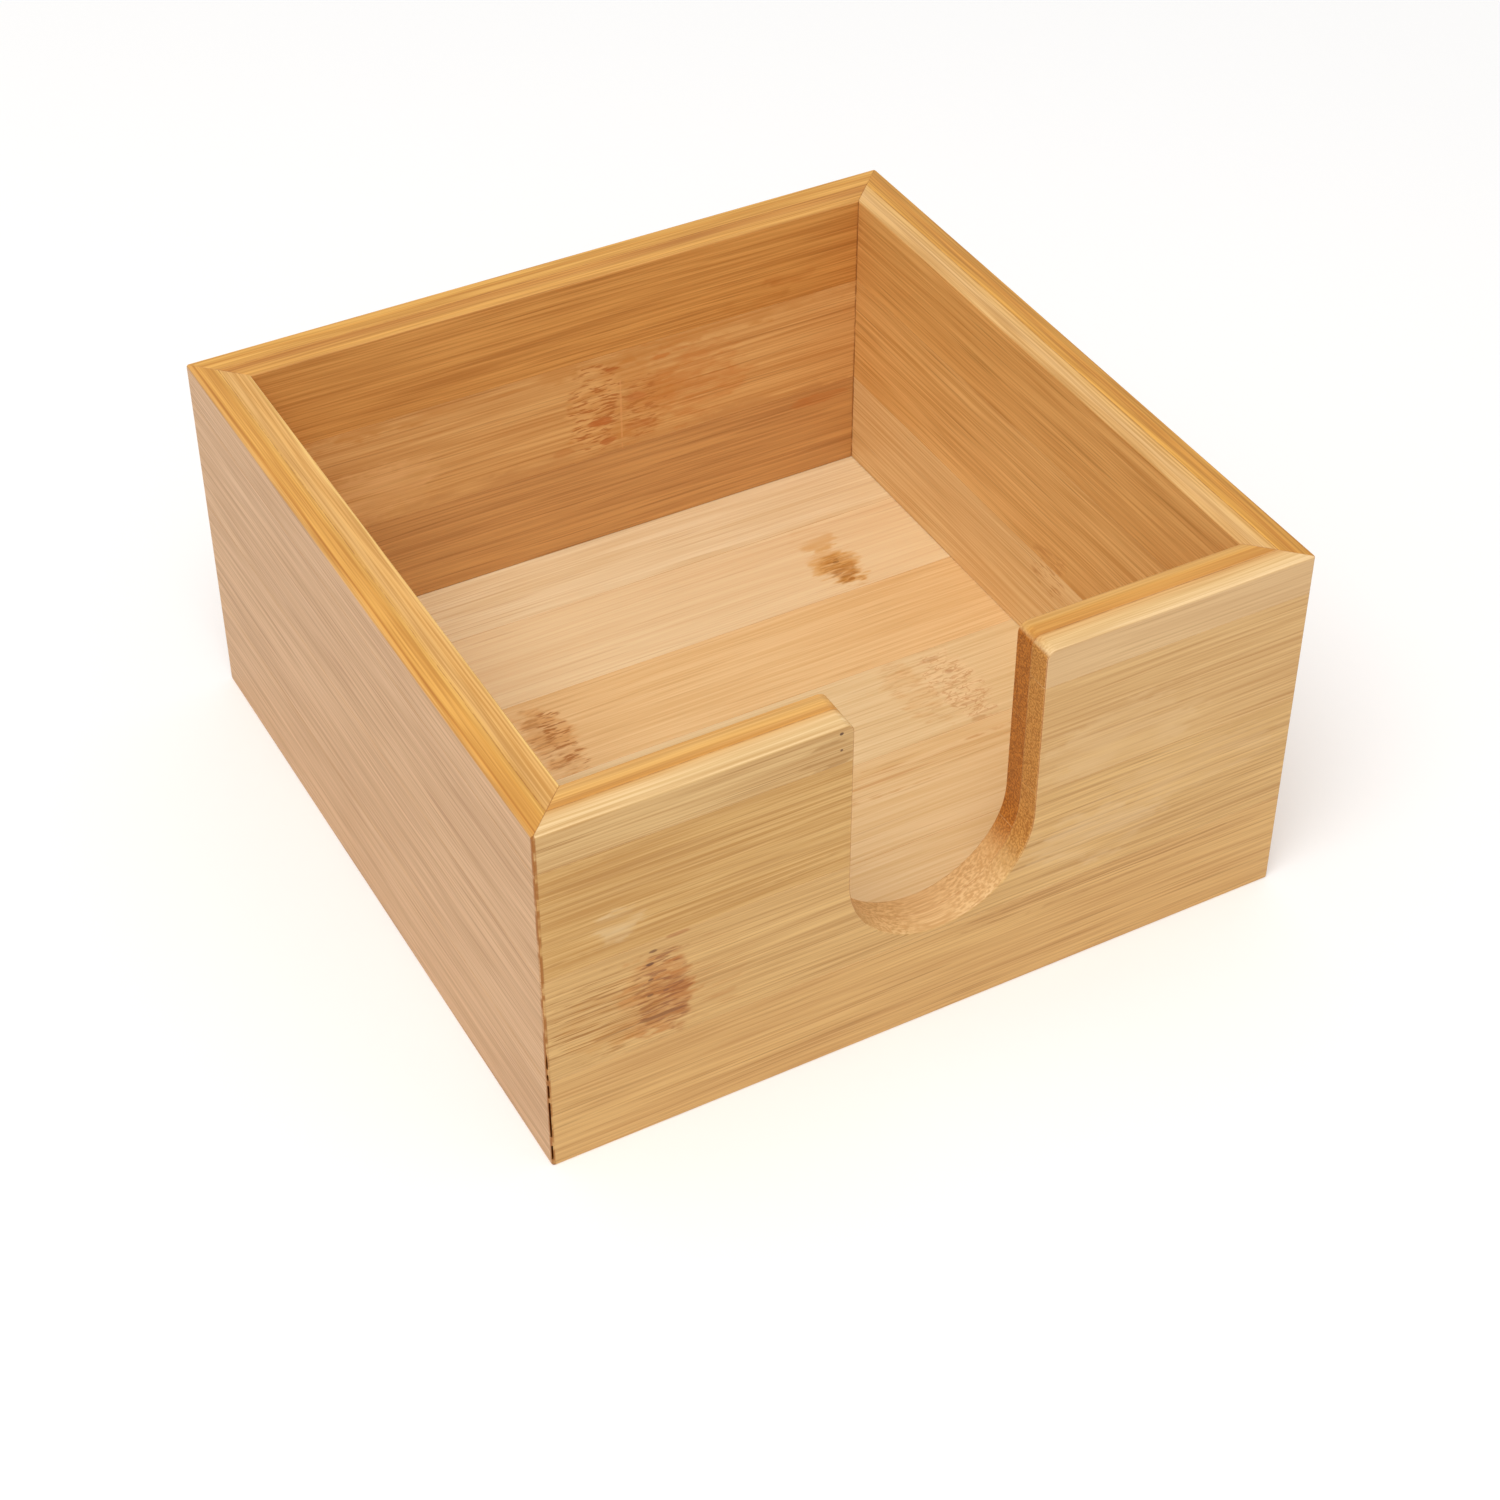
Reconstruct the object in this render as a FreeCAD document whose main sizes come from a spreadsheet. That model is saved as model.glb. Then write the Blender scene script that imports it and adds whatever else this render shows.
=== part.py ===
import FreeCAD, Part
import math
import os
import Sketcher
from FreeCAD import Placement, Rotation, Vector

# Open-topped napkin box in laminated bamboo. Four walls are mitred at the corners and hold a floor in a
# groove. A wall is two plies glued face to face, and a ply is strips glued edge to edge. The front wall has
# a U-shaped finger notch.
# Millimetres; +Z up, front towards -Y, origin on the bench under the middle of the box.

document = FreeCAD.newDocument("NapkinBox")

SIZES = [
    ("box_width", 152.0, "outside, left to right"),
    ("box_depth", 152.0, "outside, front to back"),
    ("wall_height", 77.0, "bench to rim"),
    ("outer_ply", 4.75, "thickness of a wall's outer ply"),
    ("inner_ply", 4.75, "thickness of a wall's inner ply"),
    ("strip_width", 24.0, "bamboo strip before the board is trimmed"),
    ("outer_rim_strip", 8.0, "what trimming leaves of the outer ply's top strip"),
    ("inner_rim_strip", 19.0, "what trimming leaves of the inner ply's top strip"),
    ("narrowest_strip", 2.0, "a last strip under this stays part of its neighbour"),
    ("corner_round", 0.6, "radius of the box's upright corners"),
    ("edge_ease", 0.4, "radius of the sanded arrises"),
    ("base_lift", 8.0, "bench to the underside of the floor"),
    ("base_thickness", 5.0, "floor board"),
    ("base_back_strip", 21.3, "what trimming leaves of the floor's back strip"),
    ("groove_backing", 0.5, "wood between the groove and the outer ply"),
    ("groove_fit", 0.1, "room over the floor board in its groove"),
    ("groove_end_gap", 0.25, "room past the floor board's edge for it to swell"),
    ("notch_width", 37.5, "between the notch's straight sides"),
    ("notch_offset", 1.4, "how far the notch's middle stands to the right of the box's"),
    ("notch_web", 0.8, "wood between the notch and the third glue joint from the rim, in the outer ply"),
    ("notch_corner", 2.0, "radius where the notch's sides meet the rim"),
]

sheet = document.addObject("Spreadsheet::Sheet", "Sizes")
for row, (alias, size, note) in enumerate(SIZES, start=1):
    sheet.set(f"A{row}", note)
    sheet.set(f"B{row}", str(size))
    sheet.setAlias(f"B{row}", alias)
document.recompute()

WALL = "(Sizes.outer_ply + Sizes.inner_ply)"
GROOVE_DEPTH = "(Sizes.inner_ply - Sizes.groove_backing)"
GROOVE_HEIGHT = "(Sizes.base_thickness + Sizes.groove_fit)"
TONGUE = f"({GROOVE_DEPTH} - Sizes.groove_end_gap)"
NOTCH_RADIUS = "(Sizes.notch_width / 2)"
NOTCH_DEPTH = "(Sizes.outer_rim_strip + 2 * Sizes.strip_width - Sizes.notch_web)"
NOTCH_BOTTOM = f"(Sizes.wall_height - {NOTCH_DEPTH})"

# Each wall is drawn as the front one and turned about Z. "run" is the box's size along the wall and "reach"
# its size across the wall.
WALLS = {
    "front": {"turn": 0, "run": "Sizes.box_width", "reach": "Sizes.box_depth"},
    "right": {"turn": 90, "run": "Sizes.box_depth", "reach": "Sizes.box_width"},
    "back": {"turn": 180, "run": "Sizes.box_width", "reach": "Sizes.box_depth"},
    "left": {"turn": 270, "run": "Sizes.box_depth", "reach": "Sizes.box_width"},
}
NOTCHED_WALL = "front"

# Directions in a sketch, anticlockwise from its x axis, in radians.
TO_RIGHT, TO_TOP, TO_LEFT, TO_FOOT = [math.radians(angle) for angle in (0, 90, 180, 270)]
MITRE = TO_TOP / 2  # the walls meet at right angles, so each end is cut to half of that

OVERCUT = 1.0  # how far a cutter runs out past the wood
WEB_SHARE = 0.8  # the most of a thin web that its eased arris may take
TOUCH = 1e-4  # closer than this is touching

# How a sketch numbers the points of a line or arc, and its own origin and upright axis.
START, END, CENTRE = range(1, 4)
ORIGIN_INDEX = -1
UPRIGHT_AXIS_INDEX = -2


# ---- Numbers and sketches ----


def number(expression):
    """What an expression on the size sheet comes to."""
    return float(sheet.evalExpression(expression))


def sketch_on(body, role, name):
    """A new sketch on one of the body's own origin planes."""
    plane = next(item for item in body.Origin.OriginFeatures if item.Role == role)
    sketch = body.newObject("Sketcher::SketchObject", name)
    sketch.AttachmentSupport = [(plane, "")]
    sketch.MapMode = "FlatFace"
    return sketch


def dimension(sketch, name, expression, kind, *where):
    """Adds a dimension that follows the size sheet."""
    index = sketch.addConstraint(Sketcher.Constraint(kind, *where, number(expression)))
    sketch.renameConstraint(index, name)
    sketch.setExpression(f"Constraints.{name}", expression)


def place(sketch, name, expression, kind, *point):
    """Dimensions a point from the origin, whichever side of it the point is on."""
    if number(expression) < 0:
        dimension(sketch, name, f"-({expression})", kind, *point, ORIGIN_INDEX, START)
    else:
        dimension(sketch, name, expression, kind, ORIGIN_INDEX, START, *point)


def join_ends(sketch, chain, smooth=()):
    """Joins each piece of a closed chain to the next, without a corner between the pairs in smooth.

    A piece is (geometry, its first end, its last end)."""
    for (piece, _, last), (following, first, _) in zip(chain, chain[1:] + chain[:1]):
        kind = "Tangent" if (piece, following) in smooth else "Coincident"
        sketch.addConstraint(Sketcher.Constraint(kind, piece, last, following, first))


def add_line(sketch, start, end):
    return sketch.addGeometry(Part.LineSegment(Vector(*start, 0), Vector(*end, 0)))


def add_arc(sketch, centre, radius, first, last):
    """An arc drawn anticlockwise from one direction to another, both in radians, such as TO_LEFT."""
    circle = Part.Circle(Vector(*centre, 0), Vector(0, 0, 1), radius)
    return sketch.addGeometry(Part.ArcOfCircle(circle, first, last))


def draw_rectangle(sketch, left, bottom, width, height):
    """A level rectangle from its lower left corner and its two sizes."""
    x, y = number(left), number(bottom)
    right, top = x + number(width), y + number(height)
    corners = [(x, y), (right, y), (right, top), (x, top)]
    sides = [add_line(sketch, *ends) for ends in zip(corners, corners[1:] + corners[:1])]
    join_ends(sketch, [(side, START, END) for side in sides])
    for side, direction in zip(sides, ["Horizontal", "Vertical"] * 2):
        sketch.addConstraint(Sketcher.Constraint(direction, side))
    place(sketch, "left", left, "DistanceX", sides[0], START)
    place(sketch, "bottom", bottom, "DistanceY", sides[0], START)
    dimension(sketch, "width", width, "DistanceX", sides[0], START, sides[0], END)
    dimension(sketch, "height", height, "DistanceY", sides[1], START, sides[1], END)


def draw_ply_plan(sketch, half_run, front, ply, corner, span):
    """A ply seen from above: show face, mitred or square ends, glued face. span is whole, left or right."""
    x, near, depth = number(half_run), -number(front), number(ply)
    far = near + depth
    radius = number(corner) if corner else 0.0
    mitred_left, mitred_right = span != "right", span != "left"
    drop = radius * (1 - math.sin(MITRE))
    near_right = (x - radius, near) if mitred_right else (0, near)
    near_left = (radius - x, near) if mitred_left else (0, near)
    far_right = (x - depth, far) if mitred_right else (0, far)
    far_left = (depth - x, far) if mitred_left else (0, far)
    end_right = (x - drop, near + drop) if mitred_right else near_right
    end_left = (drop - x, near + drop) if mitred_left else near_left

    show = add_line(sketch, near_left, near_right)
    right = add_line(sketch, end_right, far_right)
    glued = add_line(sketch, far_right, far_left)
    left = add_line(sketch, far_left, end_left)
    chain = [(show, START, END), (right, START, END), (glued, START, END), (left, START, END)]
    rounds = []
    if corner and mitred_right:
        arc = add_arc(sketch, (x - radius, near + radius), radius, TO_FOOT, TO_FOOT + MITRE)
        chain.insert(1, (arc, START, END))
        rounds.append((arc, right))
    if corner and mitred_left:
        arc = add_arc(sketch, (radius - x, near + radius), radius, TO_FOOT - MITRE, TO_FOOT)
        chain.append((arc, START, END))
        rounds.append((arc, left))
    arcs = [arc for arc, _ in rounds]
    join_ends(sketch, chain, [(show, arc) for arc in arcs] + [(arc, show) for arc in arcs])

    sketch.addConstraint(Sketcher.Constraint("Horizontal", show))
    sketch.addConstraint(Sketcher.Constraint("Horizontal", glued))
    place(sketch, "front", f"-({front})", "DistanceY", show, START)
    dimension(sketch, "ply", ply, "DistanceY", show, START, glued, START)
    if mitred_right:
        sketch.addConstraint(Sketcher.Constraint("Angle", right, TO_LEFT - MITRE))
        place(sketch, "right_end", f"{half_run} - {ply}", "DistanceX", glued, START)
    else:
        sketch.addConstraint(Sketcher.Constraint("PointOnObject", show, END, UPRIGHT_AXIS_INDEX))
        sketch.addConstraint(Sketcher.Constraint("PointOnObject", glued, START, UPRIGHT_AXIS_INDEX))
    if mitred_left:
        sketch.addConstraint(Sketcher.Constraint("Angle", left, TO_LEFT + MITRE))
        place(sketch, "left_end", f"{ply} - {half_run}", "DistanceX", glued, END)
    else:
        sketch.addConstraint(Sketcher.Constraint("PointOnObject", show, START, UPRIGHT_AXIS_INDEX))
        sketch.addConstraint(Sketcher.Constraint("PointOnObject", glued, END, UPRIGHT_AXIS_INDEX))
    for index, (arc, mitre) in enumerate(rounds, start=1):
        sketch.addConstraint(Sketcher.Constraint("PointOnObject", arc, CENTRE, mitre))
        dimension(sketch, f"corner_{index}", corner, "Radius", arc)


def draw_notch(sketch):
    """The finger notch from the front: half-round bottom, straight sides, corners rounded into the rim."""
    radius, corner, middle = number(NOTCH_RADIUS), number("Sizes.notch_corner"), number("Sizes.notch_offset")
    rim, axle = number("Sizes.wall_height"), number(NOTCH_BOTTOM) + radius
    top, turn = rim + OVERCUT, rim - corner
    left, right = middle - radius, middle + radius
    far_left, far_right = left - corner, right + corner
    bottom = add_arc(sketch, (middle, axle), radius, TO_LEFT, TO_RIGHT)
    right_side = add_line(sketch, (right, axle), (right, turn))
    right_corner = add_arc(sketch, (far_right, turn), corner, TO_TOP, TO_LEFT)
    right_rise = add_line(sketch, (far_right, rim), (far_right, top))
    lid = add_line(sketch, (far_right, top), (far_left, top))
    left_rise = add_line(sketch, (far_left, top), (far_left, rim))
    left_corner = add_arc(sketch, (far_left, turn), corner, TO_RIGHT, TO_TOP)
    left_side = add_line(sketch, (left, turn), (left, axle))
    chain = [
        (bottom, START, END), (right_side, START, END), (right_corner, END, START), (right_rise, START, END),
        (lid, START, END), (left_rise, START, END), (left_corner, END, START), (left_side, START, END),
    ]
    smooth = [(bottom, right_side), (right_side, right_corner), (left_corner, left_side), (left_side, bottom)]
    join_ends(sketch, chain, smooth)
    sketch.addConstraint(Sketcher.Constraint("Horizontal", lid))
    for line in (right_side, left_side, right_rise, left_rise):
        sketch.addConstraint(Sketcher.Constraint("Vertical", line))
    for arc, end in ((right_corner, START), (left_corner, END)):
        sketch.addConstraint(Sketcher.Constraint("Vertical", arc, CENTRE, arc, end))
    sketch.addConstraint(Sketcher.Constraint("Horizontal", right_corner, START, left_corner, END))
    sketch.addConstraint(Sketcher.Constraint("Equal", right_corner, left_corner))
    sketch.addConstraint(Sketcher.Constraint("DistanceY", right_rise, START, right_rise, END, OVERCUT))
    dimension(sketch, "radius", NOTCH_RADIUS, "Radius", bottom)
    dimension(sketch, "corner", "Sizes.notch_corner", "Radius", right_corner)
    place(sketch, "middle", "Sizes.notch_offset", "DistanceX", bottom, CENTRE)
    place(sketch, "axle", f"{NOTCH_BOTTOM} + {NOTCH_RADIUS}", "DistanceY", bottom, CENTRE)
    place(sketch, "rim", "Sizes.wall_height", "DistanceY", right_corner, START)


# ---- One piece of wood ----


def new_body(name, turn=0):
    body = document.addObject("PartDesign::Body", name)
    body.Label = name
    body.Placement = Placement(Vector(0, 0, 0), Rotation(Vector(0, 0, 1), turn))
    return body


def pad_up(body, sketch, bottom, thickness):
    """Gives a plan its height, from an expression for its underside."""
    sketch.setExpression(".AttachmentOffset.Base.z", bottom)
    pad = body.newObject("PartDesign::Pad", "Pad")
    pad.Profile = sketch
    pad.setExpression("Length", thickness)
    document.recompute()


def cut_through(body, sketch, name):
    """Cuts a sketch out of the whole piece and makes sure that wood was removed."""
    before = body.Shape.Volume
    pocket = body.newObject("PartDesign::Pocket", name)
    pocket.Profile = sketch
    pocket.Type = "ThroughAll"
    pocket.SideType = "Symmetric"
    document.recompute()
    if body.Shape.Volume >= before:
        raise RuntimeError(f"{body.Label}: {name} removed nothing")


def arrises(shape, face):
    """Names of the edges that a sanding block reaches on a show face: rim, foot and notch, but no glue joint.

    The face is at y = face, in the frame of the front wall."""
    rim = number("Sizes.wall_height")
    notch_reach = number(f"{NOTCH_RADIUS} + Sizes.notch_corner + Sizes.notch_offset")
    names = []
    for index, edge in enumerate(shape.Edges, start=1):
        box = edge.BoundBox
        on_face = max(abs(box.YMin - face), abs(box.YMax - face)) < TOUCH
        level = box.ZLength < TOUCH
        at_an_end = min(abs(box.ZMin - rim), abs(box.ZMin)) < TOUCH
        beside_notch = max(abs(box.XMin), abs(box.XMax)) < notch_reach + TOUCH
        if on_face and (at_an_end if level else beside_notch):
            names.append(f"Edge{index}")
    return names


def ease(body, face, radius):
    """Rounds the sanded arrises of a show face."""
    feature = body.Tip
    names = arrises(feature.Shape, face)
    if names:
        fillet = body.newObject("PartDesign::Fillet", "Ease")
        fillet.Base = (feature, names)
        fillet.setExpression("Radius", radius)
        document.recompute()


# ---- Walls ----


def ply_sizes(wall, ply):
    """Expressions for one ply of a wall, as that wall is drawn.

    half_run is half its length. front and show_face say how far its front face, and the face that stays in
    view, stand from the middle of the box. corner is its upright rounding, and rim_strip its highest strip."""
    half_run, half_reach = f"({wall['run']} / 2)", f"({wall['reach']} / 2)"
    if ply == "outer":
        return {
            "half_run": half_run,
            "front": half_reach,
            "ply": "Sizes.outer_ply",
            "corner": "Sizes.corner_round",
            "rim_strip": "Sizes.outer_rim_strip",
            "show_face": half_reach,
        }
    return {
        "half_run": f"({half_run} - Sizes.outer_ply)",
        "front": f"({half_reach} - Sizes.outer_ply)",
        "ply": "Sizes.inner_ply",
        "corner": None,
        "rim_strip": "Sizes.inner_rim_strip",
        "show_face": f"({half_reach} - {WALL})",
    }


def joints_across(length, first_strip):
    """Where a board starts, is glued and ends: a trimmed strip, whole strips, then what is left of the last."""
    marks = ["0"]
    mark = first_strip
    while number(f"{length} - {mark}") > number("Sizes.narrowest_strip"):
        marks.append(mark)
        mark = f"({first_strip} + {len(marks) - 1} * Sizes.strip_width)"
    return marks + [length]


def make_wall_strip(name, wall, ply, top, bottom, span):
    """One strip of a ply, between two heights. span is whole, or the side of the notch that it stands on."""
    sizes = ply_sizes(WALLS[wall], ply)
    body = new_body(name, WALLS[wall]["turn"])
    plan = sketch_on(body, "XY_Plane", "Plan")
    draw_ply_plan(plan, sizes["half_run"], sizes["front"], sizes["ply"], sizes["corner"], span)
    pad_up(body, plan, bottom, f"{top} - {bottom}")

    groove_top = number(f"Sizes.base_lift + {GROOVE_HEIGHT}")
    meets_groove = number(top) > number("Sizes.base_lift") + TOUCH and number(bottom) < groove_top - TOUCH
    if ply == "inner" and meets_groove:
        profile = sketch_on(body, "YZ_Plane", "GrooveProfile")
        deepest = f"-({sizes['show_face']} + {GROOVE_DEPTH})"
        draw_rectangle(profile, deepest, "Sizes.base_lift", f"{GROOVE_DEPTH} + {OVERCUT}", GROOVE_HEIGHT)
        cut_through(body, profile, "Groove")

    radius = "Sizes.edge_ease"
    if wall == NOTCHED_WALL and number(NOTCH_BOTTOM) < number(top) - TOUCH:
        outline = sketch_on(body, "XZ_Plane", "NotchOutline")
        draw_notch(outline)
        cut_through(body, outline, "Notch")
        if span == "whole":
            radius = f"min(Sizes.edge_ease; {WEB_SHARE} * ({NOTCH_BOTTOM} - {bottom}))"
    ease(body, -number(sizes["show_face"]), radius)
    return body


def make_wall(wall):
    """All strips of a wall, numbered from the rim down. The notch parts those that it runs right through."""
    for ply in ("outer", "inner"):
        depths = joints_across("Sizes.wall_height", ply_sizes(WALLS[wall], ply)["rim_strip"])
        heights = [f"(Sizes.wall_height - {depth})" for depth in depths]
        for index, (top, bottom) in enumerate(zip(heights, heights[1:]), start=1):
            name = f"{wall}_{ply}_strip_{index}"
            parted = wall == NOTCHED_WALL and number(NOTCH_BOTTOM) < number(bottom) + TOUCH
            if parted:
                yield make_wall_strip(f"{name}_left", wall, ply, top, bottom, "left")
                yield make_wall_strip(f"{name}_right", wall, ply, top, bottom, "right")
            else:
                yield make_wall_strip(name, wall, ply, top, bottom, "whole")


# ---- Floor ----


def make_base():
    """The floor's strips, numbered from the back. All four edges of the floor stand in the walls' groove."""
    half_width = f"(Sizes.box_width / 2 - {WALL} + {TONGUE})"
    half_depth = f"(Sizes.box_depth / 2 - {WALL} + {TONGUE})"
    marks = joints_across(f"(2 * {half_depth})", "Sizes.base_back_strip")
    for index, (back, front) in enumerate(zip(marks, marks[1:]), start=1):
        body = new_body(f"base_strip_{index}")
        plan = sketch_on(body, "XY_Plane", "Plan")
        width, depth = f"2 * {half_width}", f"{front} - {back}"
        draw_rectangle(plan, f"-{half_width}", f"{half_depth} - {front}", width, depth)
        pad_up(body, plan, "Sizes.base_lift", "Sizes.base_thickness")
        yield body


pieces = [piece for wall in WALLS for piece in make_wall(wall)]
pieces += make_base()
document.recompute()

for item in document.Objects:
    if {"Invalid", "Error"} & set(item.State):
        raise RuntimeError(f"{item.Label} failed: {item.State}")
    if item.TypeId == "Sketcher::SketchObject" and not item.FullyConstrained:
        raise RuntimeError(f"{item.Label} can still move")
for piece in pieces:
    if piece.Shape.isNull() or not piece.Shape.isValid() or len(piece.Shape.Solids) != 1:
        raise RuntimeError(f"{piece.Label} isn't one sound solid")

os.makedirs("parts", exist_ok=True)
for piece in pieces:
    piece.Shape.exportStep(f"parts/{piece.Label}.step")
print(f"{len(pieces)} pieces written")
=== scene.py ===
# %% [markdown]
# # A napkin box in laminated bamboo
#
# The real thing is an open box, fifteen centimetres square, that holds a stack of folded napkins. Its four walls
# meet in mitres, a U-shaped notch in the front lets two fingers pinch the top napkin, and the floor sits in
# a groove. Nothing on it is solid wood: bamboo comes as strips, the strips are glued edge to edge into thin
# boards, and two boards glued face to face make a wall.
#
# The joiner's model comes first, as a fixed frame in metres. Every piece below stands where that model says,
# so its boxes are read back and no size of the box is typed again here.

from functools import partial
from math import pi, radians

import bmesh
import bpy
from mathutils import Matrix, Vector


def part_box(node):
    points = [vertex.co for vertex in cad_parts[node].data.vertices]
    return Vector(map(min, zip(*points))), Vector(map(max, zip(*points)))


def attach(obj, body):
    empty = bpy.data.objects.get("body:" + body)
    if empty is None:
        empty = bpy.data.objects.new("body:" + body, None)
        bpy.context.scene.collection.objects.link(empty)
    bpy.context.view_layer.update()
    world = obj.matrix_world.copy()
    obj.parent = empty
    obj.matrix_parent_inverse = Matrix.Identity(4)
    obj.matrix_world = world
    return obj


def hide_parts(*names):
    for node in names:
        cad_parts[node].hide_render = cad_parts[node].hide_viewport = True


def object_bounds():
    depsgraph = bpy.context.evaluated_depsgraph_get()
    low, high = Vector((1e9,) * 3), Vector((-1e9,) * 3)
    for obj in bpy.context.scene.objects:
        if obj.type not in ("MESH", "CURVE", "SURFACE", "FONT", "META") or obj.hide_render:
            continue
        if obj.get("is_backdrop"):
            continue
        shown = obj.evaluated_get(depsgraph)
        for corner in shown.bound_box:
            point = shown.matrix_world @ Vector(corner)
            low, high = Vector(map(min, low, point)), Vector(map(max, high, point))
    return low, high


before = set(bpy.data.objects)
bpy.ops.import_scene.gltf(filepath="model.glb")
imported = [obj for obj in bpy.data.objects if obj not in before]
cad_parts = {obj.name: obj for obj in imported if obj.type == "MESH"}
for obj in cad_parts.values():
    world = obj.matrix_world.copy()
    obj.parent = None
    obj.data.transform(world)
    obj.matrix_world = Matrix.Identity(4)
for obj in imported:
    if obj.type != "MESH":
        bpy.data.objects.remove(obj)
cad_low, cad_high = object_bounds()
MM = 0.001
RIM = cad_high.z
print(f"{len(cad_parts)} pieces, {(cad_high - cad_low).x / MM:.0f} mm wide, {RIM / MM:.0f} mm high")

# %% [markdown]
# ## The camera
#
# The box is looked at from the front and a little from its left, from about forty degrees above the bench.
# A long lens keeps the upright edges nearly parallel, as a product shot does. The lens is worked out from
# its focal length in pixels, so the frame stays the same whatever size the picture is rendered at.

# %% Set up the camera
PICTURE_SIDE = 1500
FOCAL_PIXELS = 3004.4


def add_object(name, data):
    """Puts a new object into the scene."""
    made = bpy.data.objects.new(name, data)
    bpy.context.scene.collection.objects.link(made)
    return made


def look_along(item, direction):
    """Turns a camera or a lamp to look in a direction."""
    item.rotation_euler = direction.to_track_quat("-Z", "Y").to_euler()


camera_data = bpy.data.cameras.new("Camera")
camera_data.lens = FOCAL_PIXELS / PICTURE_SIDE * camera_data.sensor_width
camera = add_object("Camera", camera_data)
camera.location = (-0.21247, -0.39598, 0.39538)
look_along(camera, Vector((0.36341, 0.66274, -0.65476)))
bpy.context.scene.camera = camera
print(f"lens {camera_data.lens:.1f} mm")

# %% [markdown]
# ## Colours and nodes
#
# Colours are written as the eye reads them, in sRGB hex, and one function turns them into the linear values
# that light needs. One more function adds a shader node, sets it up and links it. Everything else in the
# materials is made of calls to that one.

# %% Helpers for materials


def linear(hex_colour):
    """An sRGB hex colour as linear red, green, blue and alpha."""
    channels = [int(hex_colour[i:i + 2], 16) / 255 for i in (0, 2, 4)]
    return [c / 12.92 if c <= 0.04045 else ((c + 0.055) / 1.055) ** 2.4 for c in channels] + [1.0]


def add_node(tree, kind, inputs, output=0, **settings):
    """Adds a node with its settings, fills its sockets with plain values or links, and returns an output."""
    node = tree.nodes.new("ShaderNode" + kind)
    for name, value in settings.items():
        setattr(node, name, value)
    for socket, value in inputs.items():
        if isinstance(value, bpy.types.NodeSocket):
            tree.links.new(value, node.inputs[socket])
        else:
            node.inputs[socket].default_value = value
    return node.outputs[output]


# Asks for every output of a node, where it has several.
ALL = slice(None)
# A mix node has a socket of each name for every kind of value, so those for colours go by number.
MIX_A, MIX_B = 6, 7
COLOUR = {"data_type": "RGBA", "output": 2}
# A map range node's sockets go by number too: 0 is the value that comes in, 1 and 2 are where it starts and
# stops, and 3 and 4 are what comes out there, which is 0 and 1 unless they are given.
SMOOTH = {"interpolation_type": "SMOOTHSTEP"}
print("flat bamboo, linear:", [round(c, 3) for c in linear("D2A66B")[:3]])

# %% [markdown]
# ## Which way the grain runs
#
# A bamboo strip is a bundle of long fibres. Cut along them it shows streaks, and cut across them it shows
# dots. A solid pattern gives both for nothing, if it is stretched along the grain: so the object's own
# coordinates are turned until x runs along the strip, y through its thickness and z across its width, in
# millimetres. The surface's direction is turned in the same way, because the flat, the edge and the end of
# a strip look different.

# %% Coordinates that follow the grain
QUARTER = pi / 2
GRAIN_TURN = {
    "front": (0, 0, 0),
    "back": (0, 0, 0),
    "left": (0, 0, -QUARTER),
    "right": (0, 0, -QUARTER),
    "base": (QUARTER, 0, 0),
}


def grain_space(add, board):
    """A place in millimetres and the surface's direction, both turned to the grain."""
    turn = GRAIN_TURN[board]
    place = add("Mapping", {"Vector": add("TexCoord", {}, "Object"), "Rotation": turn, "Scale": (1 / MM,) * 3})
    facing = add("Mapping", {"Vector": add("TexCoord", {}, "Normal"), "Rotation": turn})
    return place, facing


print("boards:", ", ".join(GRAIN_TURN))

# %% [markdown]
# ## Fibres
#
# Four sizes of streak lie over each other in pressed bamboo: a slow drift in tone, soft bands some three
# millimetres wide, lines of about one millimetre, and single fibre bundles of under half a millimetre. Each is
# a noise that is stretched tens of times along the grain, because the stripes of a wave texture would come out
# too even. The finest two carry most of the contrast, which is what tells bamboo from other pale woods. A slow
# noise pushes them all a little sideways first, because the stalk was not quite straight.

# %% Noise that follows the fibres
# How far one step of a seed moves the fibres' noise along each axis, and the noise that makes them wander.
FIBRE_STEP = (7.3, 3.1, 5.7)
WANDER_STEP = (2.9, 1.0, 1.7)
NOISE_MIDDLE = 0.5
# The detail of a noise whose grains have ragged edges.
FINER = 2.0


def fibre_noise(add, place, length, width, seed, detail=1.0):
    """Noise with grains of length by width millimetres, from 0 to 1."""
    scale = (1 / length, 1 / width, 1 / width)
    start = tuple(seed * step for step in FIBRE_STEP)
    stretched = add("Mapping", {"Vector": place, "Scale": scale, "Location": start})
    return add("TexNoise", {"Vector": stretched, "Scale": 1.0, "Detail": detail}, "Fac")


def wander(add, place, seed, reach, length, width):
    """Pushes a place sideways by up to half of reach in millimetres, in waves of length by width."""
    scale = (1 / length, 1 / width, 1 / width)
    start = tuple(seed * step for step in WANDER_STEP)
    drift = add("Mapping", {"Vector": place, "Scale": scale, "Location": start})
    noise = add("TexNoise", {"Vector": drift, "Scale": 1.0, "Detail": 1.0}, "Color")
    centred = add("VectorMath", {0: noise, 1: (NOISE_MIDDLE,) * 3}, operation="SUBTRACT")
    sideways = add("VectorMath", {0: centred, 1: (0, reach, reach)}, operation="MULTIPLY")
    return add("VectorMath", {0: place, 1: sideways})


print("one step of the seed moves the noise by", FIBRE_STEP)

# %% Streaks in four sizes
# Each streak's length and width in millimetres, and its share of the contrast.
STREAKS = {"drift": (90, 8.0, 0.28), "bands": (70, 3.0, 0.36), "lines": (50, 1.0, 1.05), "fibres": (26, 0.38, 1.7)}
# The sum of all four where the wood is deepest, and palest.
DEEPEST, PALEST = 1.29, 2.09


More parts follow.
